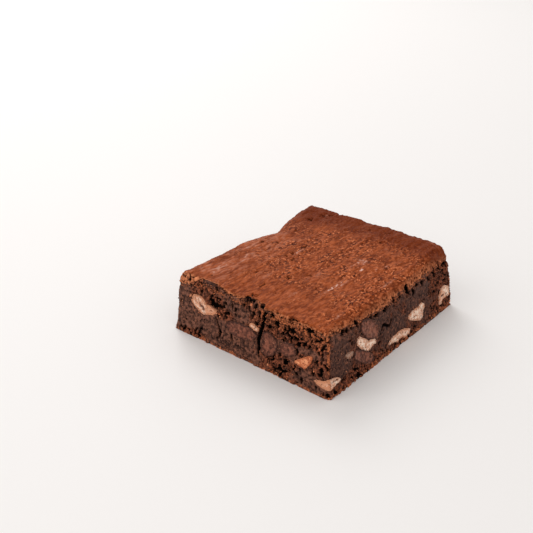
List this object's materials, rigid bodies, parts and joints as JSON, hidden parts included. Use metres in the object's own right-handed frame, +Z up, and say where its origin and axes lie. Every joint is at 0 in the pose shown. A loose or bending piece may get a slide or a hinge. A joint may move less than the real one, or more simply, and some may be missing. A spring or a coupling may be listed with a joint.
{
  "type": "chocolate brownie",
  "caption": "Thick cut square of chocolate brownie with a glossy wrinkled crust, and nut pieces and chocolate chunks in its cut sides.",
  "frame": {"origin": "centre of the bounding box of the brownie at its flat base", "axes": "+Y along the longer sides, towards the side that baked against the tin; +Z up through the crust; +X towards the cut side with most of the nuts"},
  "size_m": [0.077, 0.0922, 0.0269],
  "materials": {
    "crumb": "matt moist crumb",
    "crust": "satin thin baked crust",
    "nut": "satin cut nut",
    "nut_skin": "satin toasted nut",
    "chocolate": "satin chocolate"
  },
  "bodies": {
    "root": {"crumb": "crumb", "nut_front_long": "nut", "nut_front_small": "nut", "nut_front_skinned": "nut_skin", "nut_corner": "nut", "nut_right_heart": "nut", "nut_right_low": "nut", "nut_right_split": "nut", "nut_right_far": "nut", "nut_right_chip": "nut", "chunk_front_wide": "chocolate", "chunk_front_shield": "chocolate", "chunk_front_oval": "chocolate", "chunk_right_smeared": "chocolate", "chunk_right_low": "chocolate"}
  },
  "joints": []
}
